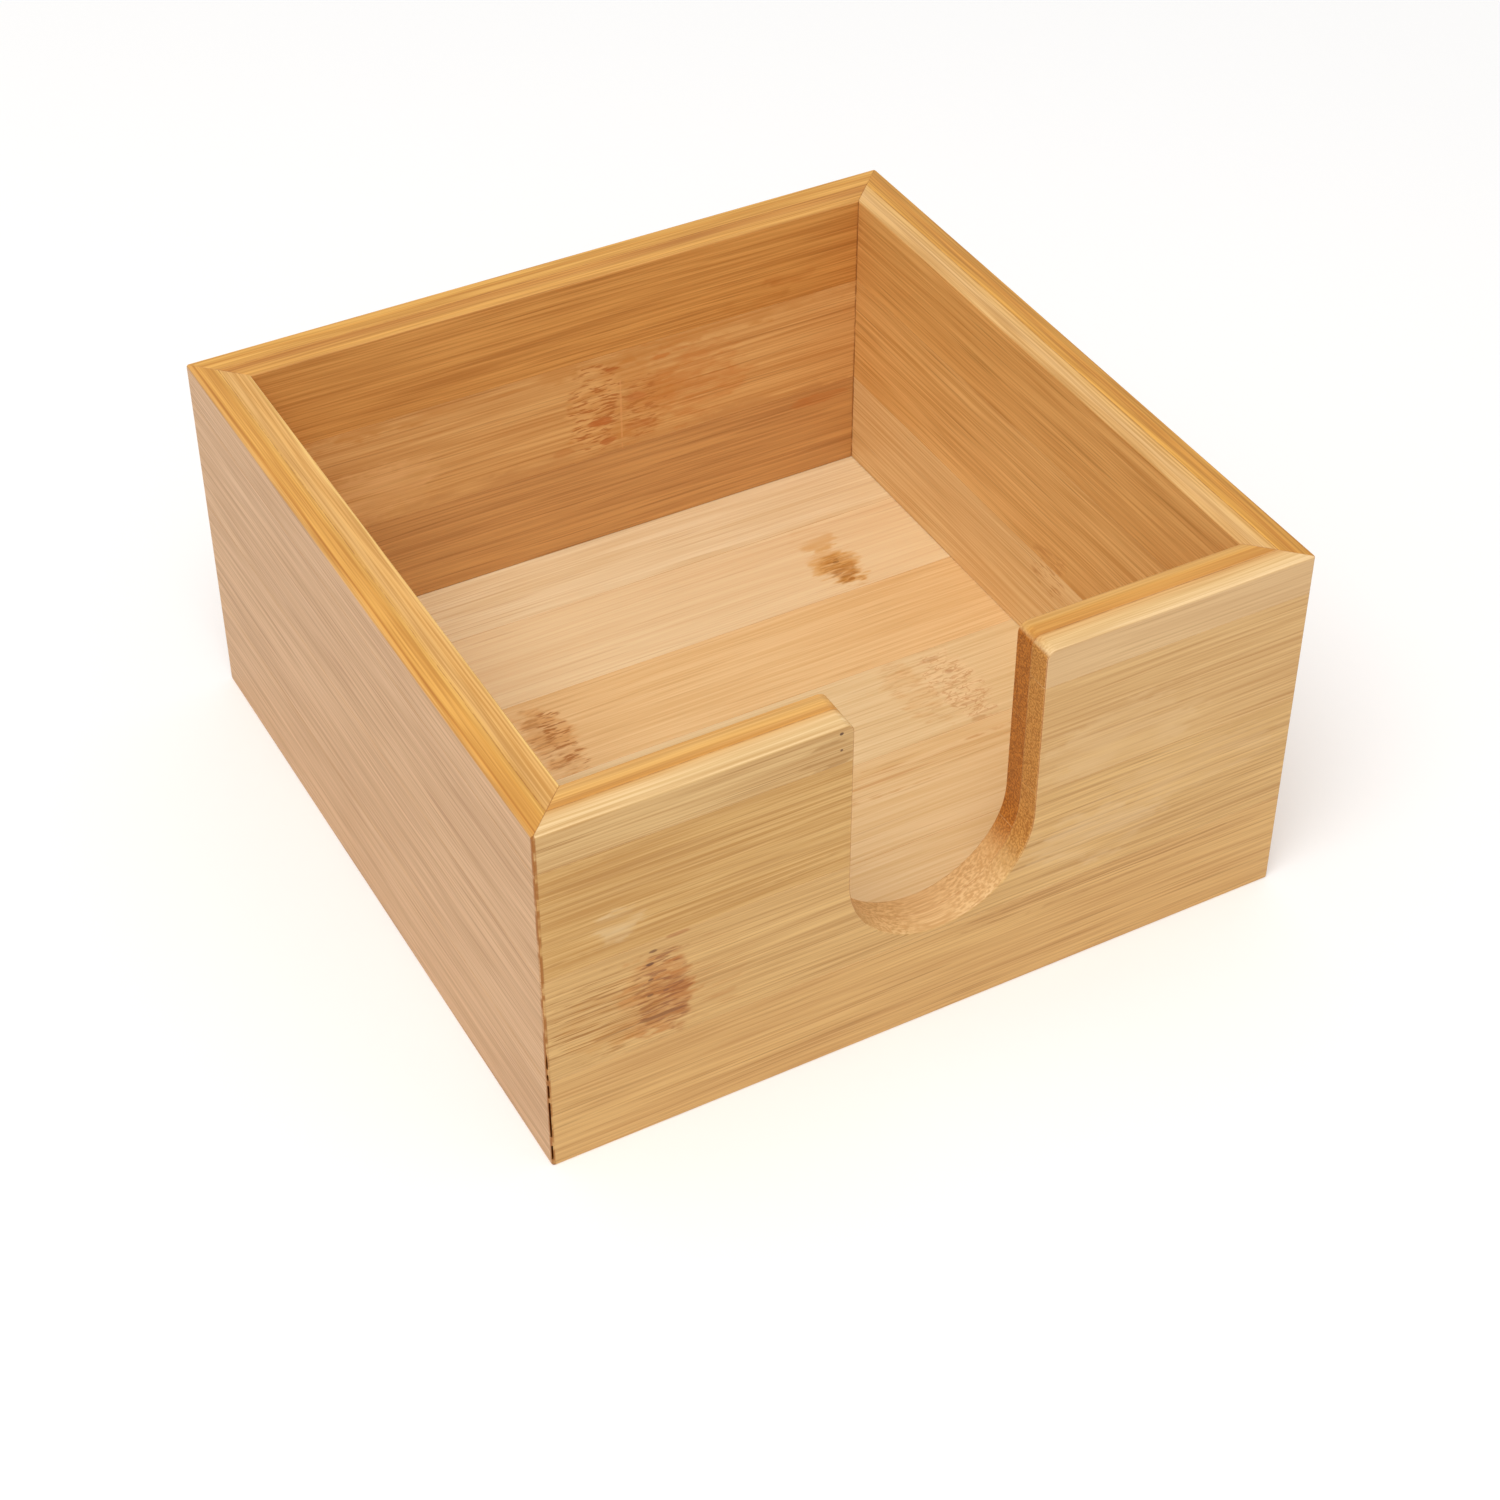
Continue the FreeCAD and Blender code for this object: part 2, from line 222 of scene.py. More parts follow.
def streaks(add, place, seed):
    """How pale the wood is, from 0 to 1, and the single fibres by themselves."""
    total = 0.0
    for index, (length, width, share) in enumerate(STREAKS.values()):
        noise = fibre_noise(add, place, length, width, seed + index)
        total = add("Math", {0: noise, 1: share, 2: total}, operation="MULTIPLY_ADD")
    return add("MapRange", {0: total, 1: DEEPEST, 2: PALEST}), noise


print("streak widths in mm:", [width for _, width, _ in STREAKS.values()])

# %% [markdown]
# ## Knuckles and stains
#
# A bamboo stalk has a ring every hand or so, where the fibres swirl and darken. In a planed strip the ring is
# left as a patch of short dark dashes right across the strip. Each such mark is an ellipse with a ragged rim,
# filled with a pattern: a stain, short shaded streaks, thin dashes, their outlines, long trails, fine lines, or
# nothing but its own tone, as in a spot. A real knuckle takes several, laid over one another. A cell pattern
# could scatter them, but they sit at chosen places, because they are what makes one box differ from the next.

# %% Marks at chosen places
# For each kind of mark: the length and width of its grains in millimetres, and the levels of their noise
# where its tone starts and is full.
MARK_GRAINS = {
    "stain": (12, 2.2, 0.25, 0.7),
    "shade": (5.0, 1.0, 0.36, 0.62),
    "dashes": (4.0, 0.55, 0.5, 0.6),
    "outlines": (3.0, 1.2, 0.035, 0.01),
    "trails": (30, 0.6, 0.5, 0.64),
    "lines": (13, 0.42, 0.5, 0.66),
}
# A place's reach is 0 in the middle of a mark and 1 on its ellipse. This much ragged noise is added to it, and
# the mark is full up to the first level of the sum and gone at the second.
RAGGED_SHARE = 1.4
MARK_FULL, MARK_GONE = 1.4, 1.85


def add_mark(add, colour, place, ragged, mark, seed):
    """Lays one mark over a colour.

    A mark is its kind, its middle along and across the grain, its half length and half width, its tone and
    its strength."""
    kind, along, across, half_length, half_width, tone, strength = mark
    centred = add("VectorMath", {0: place, 1: (along, 0, across)}, operation="SUBTRACT")
    in_reach = add("VectorMath", {0: centred, 1: (1 / half_length, 0, 1 / half_width)}, operation="MULTIPLY")
    reach = add("VectorMath", {0: in_reach}, "Value", operation="LENGTH")
    rim = add("Math", {0: ragged, 1: RAGGED_SHARE, 2: reach}, operation="MULTIPLY_ADD")
    share = add("MapRange", {0: rim, 1: MARK_FULL, 2: MARK_GONE, 3: strength, 4: 0.0}, **SMOOTH)
    if kind in MARK_GRAINS:
        length, width, start, full = MARK_GRAINS[kind]
        pattern = fibre_noise(add, place, length, width, seed, FINER)
        if kind == "outlines":
            from_middle = add("Math", {0: pattern, 1: NOISE_MIDDLE}, operation="SUBTRACT")
            pattern = add("Math", {0: from_middle}, operation="ABSOLUTE")
        grains = add("MapRange", {0: pattern, 1: start, 2: full}, **SMOOTH)
        share = add("Math", {0: share, 1: grains}, operation="MULTIPLY")
    return add("Mix", {0: share, MIX_A: colour, MIX_B: linear(tone)}, **COLOUR)


print("kinds of mark:", ", ".join(MARK_GRAINS), "and spot")

# %% [markdown]
# ## The flat of a strip
#
# The flat runs between a pale and a deep tone. The darkest threads in it are vessels, the stalk's water pipes,
# and knuckles and stains lie over them. In a knuckle the fibres swirl, so the short kinds of mark are laid on
# coordinates that also wander in small waves.

# %% The tone of the flat
# What each noise adds to its strip's seed, so that no two look alike. Each mark adds one more mark step.
VESSEL_SEED, BROKEN_SEED, RAGGED_SEED, CUT_SEED, MARK_STEP = 4, 6, 7, 9, 11
# Grains are a length and a width in millimetres, and what shows of a noise goes by the numbers of a map range.
VESSEL_GRAIN = (34, 0.45)
VESSEL_SHOWS = {1: 0.6, 2: 0.74, 3: 0.0, 4: 0.55}
RAGGED_GRAIN = (3.5, 1.2)
# How far a swirl pushes, and the length and width of its waves, in millimetres.
SWIRL = (1.2, 7, 4)
SWIRLED = ("shade", "dashes", "outlines")


def flat_colour(add, place, still_place, seed, flat, marks):
    """The tone of a strip's flat, and what streaks() gives."""
    palest, deepest, darkest = map(linear, flat)
    pale, fibres = streaks(add, place, seed)
    colour = add("Mix", {0: pale, MIX_A: deepest, MIX_B: palest}, **COLOUR)
    vessels = fibre_noise(add, place, *VESSEL_GRAIN, seed + VESSEL_SEED)
    share = add("MapRange", {0: vessels, **VESSEL_SHOWS}, **SMOOTH)
    colour = add("Mix", {0: share, MIX_A: colour, MIX_B: darkest}, **COLOUR)
    if marks:
        swirled = wander(add, place, seed, *SWIRL)
        ragged = fibre_noise(add, still_place, *RAGGED_GRAIN, seed + RAGGED_SEED, FINER)
        for number, mark in enumerate(marks, start=1):
            where = swirled if mark[0] in SWIRLED else place
            colour = add_mark(add, colour, where, ragged, mark, seed + MARK_STEP * number)
    return colour, (pale, fibres)


print("swirled marks:", ", ".join(SWIRLED))

# %% [markdown]
# ## The edge and the end of a strip
#
# A strip's edge is what a rim shows. It follows the stalk's wall from the hard skin to the soft inside, so its
# tone is set by the depth through the wall, and then streaked lighter and darker. The end of a strip drinks the
# lacquer and goes dark and dotted. In the round of the notch the cutter met the fibres at a slant, and short
# cut fibres show there, neither streaks nor dots.

# %% The tone of the edge
HALF_BOX = cad_high.x / MM
# An edge's tone is multiplied by these where its streaks are deepest and palest. The front's is the calmest.
EDGE_DEEP = {"rim": (0.78, 0.68, 0.48, 1), "front": (0.86, 0.79, 0.64, 1), "notch": (0.84, 0.74, 0.6, 1)}
EDGE_PALE = {"rim": (1.1, 1.12, 1.12, 1), "front": (1.07, 1.08, 1.08, 1), "notch": (1.1, 1.12, 1.14, 1)}


def tone_by_depth(add, place, edge):
    """The tone at a place's depth in the wall. edge is pairs of a depth and a tone, from the outside in."""
    through = add("SeparateXYZ", {0: add("VectorMath", {0: place}, operation="ABSOLUTE")}, "Y")
    depth = add("Math", {0: HALF_BOX, 1: through}, operation="SUBTRACT")
    deepest = edge[-1][0]
    tones = add("ValToRGB", {0: add("Math", {0: depth, 1: deepest}, operation="DIVIDE")})
    stops = tones.node.color_ramp.elements
    while len(stops) < len(edge):
        stops.new(0.5)
    for stop, (millimetres, tone) in zip(stops, edge):
        stop.position = millimetres / deepest
        stop.color = linear(tone)
    return tones


print("kinds of edge:", ", ".join(EDGE_DEEP))

# %% Lay on the edge and the end
DOT_SHOWS = {1: 0.34, 2: 0.68}
CUT_GRAIN = (1.6, 0.5)
CUT_SHOWS = {1: 0.36, 2: 0.64}
# How squarely a surface faces along the strip where cut fibres start to show and are all that shows, then
# the same across it for its edge, and along it for its end.
CUT_FACES = {1: 0.06, 2: 0.4}
EDGE_FACES = {1: 0.4, 2: 0.85}
END_FACES = {1: 0.76, 2: 0.97}


def edge_and_end(add, colour, place, faces, streak, seed, edge, end, shown_edge):
    """Lays the tones of a strip's edge and end over a colour, where the surface faces that way.

    faces is how squarely it faces along, through and across the strip, and streak is what streaks() gives."""
    faces_end, _, faces_edge = faces
    pale, fibres = streak
    dots = add("MapRange", {0: fibres, **DOT_SHOWS}, **SMOOTH)
    grit = add("Mix", {0: 0.5, 2: pale, 3: dots})
    if shown_edge == "notch":
        noise = fibre_noise(add, place, *CUT_GRAIN, seed + CUT_SEED, FINER)
        cut = add("MapRange", {0: noise, **CUT_SHOWS}, **SMOOTH)
        share = add("MapRange", {0: faces_end, **CUT_FACES}, **SMOOTH)
        grit = add("Mix", {0: share, 2: grit, 3: cut})
    shade = add("Mix", {0: grit, MIX_A: EDGE_DEEP[shown_edge], MIX_B: EDGE_PALE[shown_edge]}, **COLOUR)
    edge_colour = add("VectorMath", {0: tone_by_depth(add, place, edge), 1: shade}, operation="MULTIPLY")
    share = add("MapRange", {0: faces_edge, **EDGE_FACES}, **SMOOTH)
    colour = add("Mix", {0: share, MIX_A: colour, MIX_B: edge_colour}, **COLOUR)
    end_pale, end_deep = map(linear, end)
    end_colour = add("Mix", {0: dots, MIX_A: end_deep, MIX_B: end_pale}, **COLOUR)
    share = add("MapRange", {0: faces_end, **END_FACES}, **SMOOTH)
    return add("Mix", {0: share, MIX_A: colour, MIX_B: end_colour}, **COLOUR)


print(f"cut fibres {CUT_GRAIN[0]} mm long and {CUT_GRAIN[1]} mm wide")

# %% [markdown]
# ## Glue lines
#
# Wherever two pieces meet, a hair of brown glue shows, here stronger and there weaker: at the ends of a strip's
# width, between the two boards of a wall, and in the mitre. It is drawn by the distance from the joint, because
# a gap so thin would cost much mesh and show little. Some corners show more. The mitre at the front left has
# worn open, so its line is broad and the sides of the crack are stained. Inside the box the line in a corner is
# wider than a hair.

# %% Kinds of glue line
PLY_JOINT = -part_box("front_outer_strip_4")[1].y / MM
GLUE = "985820"
WORN_MITRE = "A0600E"
STAINED_CRACK = "A85C18"
# How far from a joint its line is full and gone, in millimetres, its strength and its tone.
LINES = {
    "strip": (0.02, 0.16, 0.25, GLUE),
    "floor strip": (0.02, 0.16, 0.12, GLUE),
    "ply": (0.02, 0.2, 0.5, GLUE),
    "ply in the notch": (0.02, 0.2, 0.25, GLUE),
    "mitre": (0.03, 0.2, 0.5, GLUE),
    "opened": (0.45, 0.75, 0.95, WORN_MITRE),
    "shut": (0.08, 0.36, 0.6, GLUE),
}


def find_lines(add, still_place, faces, board, shown_edge, joints, corner):
    """Pairs of the distance from a joint in millimetres, on either side of 0, and its kind of line."""
    along, _, level = add("SeparateXYZ", {0: still_place}, ALL)
    kind = "floor strip" if board == "base" else "strip"
    found = [(add("Math", {0: level, 1: joint}, operation="SUBTRACT"), kind) for joint in joints]
    if board == "base":
        return found
    far = add("VectorMath", {0: still_place}, operation="ABSOLUTE")
    far_along, far_through, _ = add("SeparateXYZ", {0: far}, ALL)
    from_ply = add("Math", {0: far_through, 1: PLY_JOINT}, operation="SUBTRACT")
    from_mitre = add("Math", {0: far_through, 1: far_along}, operation="SUBTRACT")
    found += [(from_ply, "ply in the notch" if shown_edge == "notch" else "ply"), (from_mitre, "mitre")]
    if corner == "opened":
        found.append((add("Math", {0: along, 1: HALF_BOX}, operation="ADD"), corner))
    if corner == "shut":
        turned_away = add("Math", {0: 1.0, 1: faces[1]}, operation="SUBTRACT")
        gap = add("Math", {0: from_mitre}, operation="ABSOLUTE")
        found.append((add("Math", {0: gap, 1: turned_away}, operation="ADD"), corner))
    return found


print(f"the boards of a wall are glued {HALF_BOX - PLY_JOINT:.2f} mm in from the outside")

# %% Draw the glue lines
# How squarely a surface faces both along and through the strip where it is a side of the crack.
CRACK_FACES = {1: 0.58, 2: 0.64}
BROKEN_GRAIN = (3.0, 3.0)
BROKEN_SHOWS = {1: 0.38, 2: 0.55, 3: 0.2, 4: 1.0}


def glue_lines(add, colour, still_place, faces, seed, board, shown_edge, joints, corner):
    """Draws the line of every joint that a strip touches over its colour."""
    if corner == "opened":
        sawn = add("Math", {0: faces[0], 1: faces[1]}, operation="MINIMUM")
        share = add("MapRange", {0: sawn, **CRACK_FACES}, **SMOOTH)
        colour = add("Mix", {0: share, MIX_A: colour, MIX_B: linear(STAINED_CRACK)}, **COLOUR)
    broken = fibre_noise(add, still_place, *BROKEN_GRAIN, seed + BROKEN_SEED, FINER)
    clear = add("MapRange", {0: broken, **BROKEN_SHOWS}, **SMOOTH)
    for away, kind in find_lines(add, still_place, faces, board, shown_edge, joints, corner):
        full, gone, strength, tone = LINES[kind]
        gap = add("Math", {0: away}, operation="ABSOLUTE")
        line = add("MapRange", {0: gap, 1: full, 2: gone, 3: strength, 4: 0.0}, **SMOOTH)
        share = add("Math", {0: line, 1: clear}, operation="MULTIPLY")
        colour = add("Mix", {0: share, MIX_A: colour, MIX_B: linear(tone)}, **COLOUR)
    return colour


print("kinds of glue line:", ", ".join(LINES))

# %% [markdown]
# ## The bamboo itself
#
# The finish is a thin clear lacquer on sanded bamboo: satin, not glossy, with the fibres just felt through
# it. So the roughness and the bump both follow the single fibres. Lacquer bends light as most clear plastics do.

# %% Make a bamboo material
# How far the fibres of a strip wander, and the length and width of their waves, in millimetres.
WANDER = (0.9, 55, 14)
# The roughness between the fibres and on them, and how far they stand out.
SATIN = {1: 0.2, 2: 0.8, 3: 0.52, 4: 0.42}
FELT = {"Strength": 0.35, "Distance": 0.05 * MM}
LACQUER_IOR = 1.5


def bamboo(name, board, seed, flat, edge, end, shown_edge, joints, marks, corner):
    """Clear-lacquered laminated bamboo.

    flat is a pale, a deep and a dark tone, end is a pale and a deep one, and edge is pairs of a depth and a
    tone. joints are the heights of the glue lines on the strip. corner is "opened" at the box's front left,
    "shut" inside the box, and empty elsewhere."""
    material = bpy.data.materials.new(name)
    material.use_nodes = True
    tree = material.node_tree
    shader = tree.nodes["Principled BSDF"]
    add = partial(add_node, tree)

    still_place, facing = grain_space(add, board)
    place = wander(add, still_place, seed, *WANDER)
    faces = add("SeparateXYZ", {0: add("VectorMath", {0: facing}, operation="ABSOLUTE")}, ALL)
    colour, streak = flat_colour(add, place, still_place, seed, flat, marks)
    colour = edge_and_end(add, colour, place, faces, streak, seed, edge, end, shown_edge)
    colour = glue_lines(add, colour, still_place, faces, seed, board, shown_edge, joints, corner)

    shader.inputs["IOR"].default_value = LACQUER_IOR
    tree.links.new(colour, shader.inputs["Base Color"])
    _, fibres = streak
    tree.links.new(add("MapRange", {0: fibres, **SATIN}), shader.inputs["Roughness"])
    tree.links.new(add("Bump", {"Height": fibres, **FELT}), shader.inputs["Normal"])
    return material


print("roughness from", SATIN[4], "to", SATIN[3])

# %% [markdown]
# ## Tones, strip by strip
#
# Every strip comes from another stalk or another height of it, so neighbours differ in tone and in how
# strongly they are streaked. Outside, the box is a pale straw brown. Inside it is a little warmer, and the
# floor is the palest board of all. Each flat has a pale tone, a deep tone and the tone of its vessels. Where
# strips aren't told apart, their whole board shares one set. An edge changes tone with its depth in the wall,
# through one board and then the other.

# %% Tones of the flats
# By strip, or by board for the rest of its strips.
FLAT_TONES = {
    "front_outer_strip_1_left": ("DEB678", "C09051", "A16D29"),
    "front_outer_strip_1_right": ("DFB780", "CFA46E", "C1965E"),
    "front_outer_strip_2_left": ("DBAE68", "BF8B43", "AE7B35"),
    "front_outer_strip_2_right": ("DEB373", "C69556", "B6803D"),
    "front_outer_strip_3": ("E0B470", "C19151", "A87634"),
    "front_outer_strip_4": ("DDAF6A", "C49150", "A67534"),
    "left_outer": ("D9AB7A", "BC8D5B", "A46D33"),
    "right_outer": ("E6B574", "CF9A57", "B48042"),
    "back_outer": ("E4B16E", "CD9653", "B07C3D"),
    "front_inner": ("E7B573", "CD9353", "AF793C"),
    "left_inner": ("F1C383", "D19758", "AF7537"),
    "back_inner_strip_1": ("E3A85B", "C3853F", "AA6E30"),
    "back_inner_strip_2": ("EBBD7A", "D09755", "B2783D"),
    "back_inner": ("DBA665", "C08A50", "A6703C"),
    "right_inner_strip_1": ("EBB76D", "CC924A", "AD762D"),
    "right_inner_strip_2": ("F3C47D", "D19A52", "AE7937"),
    "right_inner": ("F6D398", "DEB273", "C39657"),
    "base_strip_1": ("F3DDB4", "E4C797", "D3AF80"),
    "base_strip_2": ("F1D7A9", "E8C797", "D8B384"),
    "base_strip_3": ("F0CB94", "E2B87C", "D1A366"),
    "base_strip_4": ("EDD1A0", "DFBF89", "CBA56E"),
    "base": ("ECCB97", "DFB97E", "CBA168"),
}


def tones_of(node):
    """The flat tones of a strip: its own, or else those of its board."""
    return next(FLAT_TONES[key] for key in (node, node.rsplit("_strip", 1)[0]) if key in FLAT_TONES)


print(len(FLAT_TONES), "sets of flat tones")

# %% Tones of the edges and the ends
# Pairs of the depth in millimetres from the outside of the wall, and the tone there.
EDGE_TONES = {
    "left": [(0, "DCA55A"), (0.8, "DFA049"), (1.1, "C8842E"), (1.4, "E2A54B"), (2.9, "E2A54D"), (3.4, "D99B41"),
             (4.6, "E5B05A"), (4.9, "E2AD5F"), (5.6, "DFAB65"), (6.3, "DFAB63"), (7.2, "E2AB5F"),
             (8.6, "E0AB62"), (9.5, "F6CA7A")],
    "front_left": [(0, "EFCB95"), (0.8, "DFB77E"), (1.8, "EDC992"), (3.3, "EAC289"), (4.6, "DDAA65"), (4.9, "DE9E49"),
                   (5.8, "D2974B"), (6.6, "E5AD5C"), (7.2, "E7B161"), (8.2, "DDAA62"), (9.5, "DB9F52")],
    "front_right": [(0, "F0CC98"), (2.5, "E9C185"), (4.6, "DDA966"), (4.9, "D08E3C"), (6.2, "D79A46"), (7, "D59642"),
                    (7.4, "DDA24C"), (8.3, "D9A55A"), (9.5, "D6A058")],
    "back": [(0, "E0A651"), (1.8, "E1A74E"), (2.3, "D8983F"), (3.1, "E3A951"), (4.2, "DEA24B"), (5.4, "CC8A37"),
             (6.4, "CF8F3F"), (7.3, "D69A47"), (8.3, "DFA14B"), (8.9, "DEA34F"), (9.5, "D99F52")],
    "right": [(0, "D79A3F"), (1.2, "CA913D"), (2.2, "D8963B"), (3.2, "CD8F38"), (4.6, "E6A949"), (4.9, "E4B166"),
              (6, "E4B471"), (7.2, "E1B274"), (8.4, "DFAC68"), (9.5, "E4B473")],
    "notch": [(0, "E5BA7F"), (4.7, "E0B378"), (9.5, "DAAB6F")],
    "base": [(0, "E0B078"), (9.5, "E0B078")],
}
# The pale and the deep tone of the ends.
END_TONES = {"outer": ("D89C4F", "AE702F"), "inner": ("CA7F2F", "9B581A"), "base": ("C08C52", "9A6834")}
print("edges:", ", ".join(EDGE_TONES))

# %% [markdown]
# ## Where the knuckles lie
#
# The front has one strong knuckle low on the left, with fine dark lines that run up to it from both sides. The
# back wall has a wavy one inside, with a fine upright line, and there is one more on the right wall, on the back
# and inside the left wall. Three cross whole strips of the floor. Pale stains, long trails and two pinholes by
# the notch finish the list. Places are millimetres along and across the grain from the middle of the box. A
# mark's place in its list seeds its noise, so a new one goes at the end.

# %% The marks outside
OUTSIDE_MARKS = {
    "front_outer_strip_3": [
        ("stain", -55.4, 32.2, 7.6, 10.3, "BC6E14", 0.75),
        ("stain", -53.4, 31, 4.6, 9, "B2660E", 0.65),
        ("stain", -50.8, 31.5, 2, 10.5, "AE6416", 0.65),
        ("dashes", -55, 33.5, 6.4, 10.5, "D8A662", 0.45),
        ("shade", -53, 29.5, 4, 7, "A25C0A", 0.5),
        ("lines", -64.5, 32, 11.5, 10, "9E620E", 0.8),
        ("spot", -67, 33.9, 7, 0.18, "98601C", 0.7),
        ("spot", -62.5, 32.7, 3.5, 0.16, "98601C", 0.7),
        ("spot", -62.5, 29.6, 4, 0.16, "98601C", 0.6),
        ("lines", -44, 33, 7, 10, "BC7E3A", 0.5),
        ("dashes", -54, 32.5, 5.4, 10.5, "8A4808", 0.65),
        ("spot", -50.5, 44.6, 2.4, 0.5, "B07034", 0.6),
        ("spot", -54.6, 26.9, 4.8, 0.42, "80480E", 0.7),
        ("spot", -63, 26.7, 5, 0.22, "8E5A22", 0.7),
        ("spot", -62, 36.4, 4.5, 0.2, "8E5A22", 0.65),
        ("spot", -55, 39.9, 2.6, 0.25, "94541C", 0.7),
        ("spot", -55.4, 42.6, 0.9, 0.36, "6A3A08", 0.75),
        ("spot", -56, 39.9, 0.9, 0.34, "5C2C00", 0.75),
        ("spot", -56, 36.2, 0.7, 0.3, "6A3A08", 0.75),
        ("spot", -56.2, 32.5, 0.7, 0.3, "6A3A08", 0.75),
        ("spot", -53.2, 32.4, 0.6, 0.3, "84481A", 0.7),
        ("stain", -63, 31, 9, 7.5, "C68428", 0.28),
        ("stain", 34, 30, 15, 6.5, "E2BE8C", 0.45),
        ("stain", 54, 38, 20, 6, "E0B884", 0.3),
    ],
    "front_outer_strip_2_left": [
        ("stain", -61.5, 51.5, 5, 3.6, "DDBB88", 0.8),
        ("trails", -48, 58, 40, 14, "B07A36", 0.4),
    ],
    "front_outer_strip_2_right": [("stain", 38, 51, 16, 9, "E0B880", 0.5)],
    "front_outer_strip_1_left": [
        ("spot", -19.9, 75.7, 0.36, 0.3, "542A04", 0.9),
        ("spot", -19.8, 72.1, 0.36, 0.3, "542A04", 0.9),
        ("trails", -22, 72, 5, 3.5, "AA7836", 0.7),
    ],
    "front_outer_strip_4": [("trails", 38, 19, 34, 3, "A87232", 0.6)],
    "right_outer_strip_3": [
        ("stain", 30.5, 33.5, 4.8, 10.5, "BE6E20", 0.85),
        ("shade", 30, 34, 4.4, 10, "A8622A", 0.5),
        ("dashes", 30.5, 34, 5, 11.5, "8C4A14", 0.7),
        ("lines", 40, 33, 13, 9, "A06A2C", 0.6),
    ],
    "back_outer_strip_2": [
        ("stain", -34, 57, 4.8, 11, "C07222", 0.85),
        ("dashes", -34, 57, 4.8, 11.5, "96541E", 0.7),
        ("lines", -44, 57, 12, 9, "A06A2C", 0.55),
    ],
}
print(sum(map(len, OUTSIDE_MARKS.values())), "marks outside")

# %% The marks inside the walls
INSIDE_MARKS = {
    "back_inner_strip_1": [
        ("stain", 42.5, 60, 8.5, 1.6, "BE7C34", 0.6),
        ("stain", 50, 63.6, 6.5, 1.6, "BE7630", 0.6),
    ],
    "back_inner_strip_2": [
        ("stain", 0, 58, 70, 3.6, "D0924A", 0.7),
        ("stain", 0, 34, 70, 3.6, "CC9558", 0.7),
        ("stain", 12, 46, 13, 11.5, "CE8636", 0.55),
        ("stain", 29, 45, 11, 9, "D88E44", 0.3),
        ("shade", 27, 46, 13, 10, "CC7C34", 0.35),
        ("shade", 5, 47, 6.5, 11, "F4C884", 0.5),
        ("dashes", 5, 46, 6.4, 12, "B66A2A", 0.8),
        ("dashes", 15.5, 43, 5, 8, "BC7434", 0.7),
        ("spot", 6.2, 42.1, 2.6, 1.2, "C87434", 0.7),
        ("spot", 7.6, 36.8, 1.9, 0.8, "C06C2E", 0.65),
        ("spot", -2.5, 37.3, 2.2, 1, "C8803E", 0.35),
        ("spot", 9.5, 54.1, 1.8, 0.4, "B8601E", 0.7),
        ("spot", 14, 45.8, 2.5, 1, "CC8044", 0.5),
        ("spot", 15.2, 38.8, 3.4, 1, "C47A3A", 0.45),
        ("spot", 20, 53.9, 2.6, 0.8, "D07C30", 0.6),
        ("spot", 10.9, 43.5, 0.28, 8.5, "EAB272", 0.5),
        ("stain", -42, 42, 12, 6, "F6C88A", 0.5),
    ],
    "back_inner_strip_3": [("stain", 57.5, 31.2, 7.5, 1.2, "C87430", 0.55)],
    "right_inner_strip_2": [("dashes", -10, 36, 6, 2.5, "BE8040", 0.5)],
    "right_inner_strip_3": [("dashes", -10, 31, 6, 4, "BE8040", 0.6)],
    "left_inner_strip_2": [
        ("shade", 24, 46, 7, 12, "F0C080", 0.6),
        ("dashes", 24, 46, 6, 12, "B86C2C", 0.75),
    ],
}
print(sum(map(len, INSIDE_MARKS.values())), "marks inside the walls")

# %% The marks on the floor
FLOOR_MARKS = {
    "base_strip_2": [
        ("stain", 44.3, 34.5, 5.2, 7, "DCA85E", 0.9),
        ("stain", 44, 44.5, 4.4, 4.6, "DDB072", 0.8),
        ("shade", 44.2, 33.4, 3.9, 5.8, "B87A2C", 0.7),
        ("dashes", 44.2, 33, 3.6, 5.2, "9A601A", 0.5),
        ("spot", 44.4, 35.2, 0.8, 0.4, "8C5A1E", 0.6),
        ("spot", 44.6, 28.8, 0.7, 0.5, "A4661C", 0.65),
    ],
    "base_strip_3": [
        ("stain", -33, 12.5, 5.5, 12, "DCA25C", 0.55),
        ("shade", -32.5, 12.5, 4.6, 11, "C48844", 0.3),
        ("dashes", -30.8, 12, 3, 11, "A4601E", 0.75),
        ("dashes", -34.2, 12, 3, 10.5, "A86C2C", 0.5),
    ],
    "base_strip_4": [
        ("shade", 45.5, -11, 5.6, 12, "F6D6A4", 0.5),
        ("outlines", 45.5, -11.5, 5.4, 12.5, "C48850", 0.5),
        ("dashes", 45.5, -11.5, 5, 12, "BC8248", 0.4),
        ("stain", 36.5, -9, 4.4, 11, "DEAA66", 0.35),
        ("dashes", 36.5, -9, 4.4, 11, "C48E50", 0.3),
        ("spot", 44.8, -1.8, 2.2, 0.5, "B88458", 0.35),
        ("spot", 46.3, -6.8, 1, 0.8, "B88054", 0.35),
        ("spot", 44.6, -17.3, 2.2, 0.5, "BC8450", 0.4),
        ("spot", 44, -22, 2.2, 0.7, "BA824A", 0.4),
    ],
    "base_strip_5": [("trails", 0, -29, 60, 4, "C68C48", 0.6)],
}
MARKS = OUTSIDE_MARKS | INSIDE_MARKS | FLOOR_MARKS
print(sum(map(len, FLOOR_MARKS.values())), "marks on the floor")

# %% [markdown]
# ## A bamboo for every strip
#
# No two strips look alike, so each gets a material of its own with its own seed. The seed is worked out from
# the strip's name, so it is the same every time. The notch cuts the two upper strips of the front in two, and
# both halves share a seed, so that their streaks run on across the gap.

# %% Make the materials
SEEDS = 97
NOTCHED = ("front_outer_strip_3", "front_inner_strip_3")
floor_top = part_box("base_strip_1")[1].z


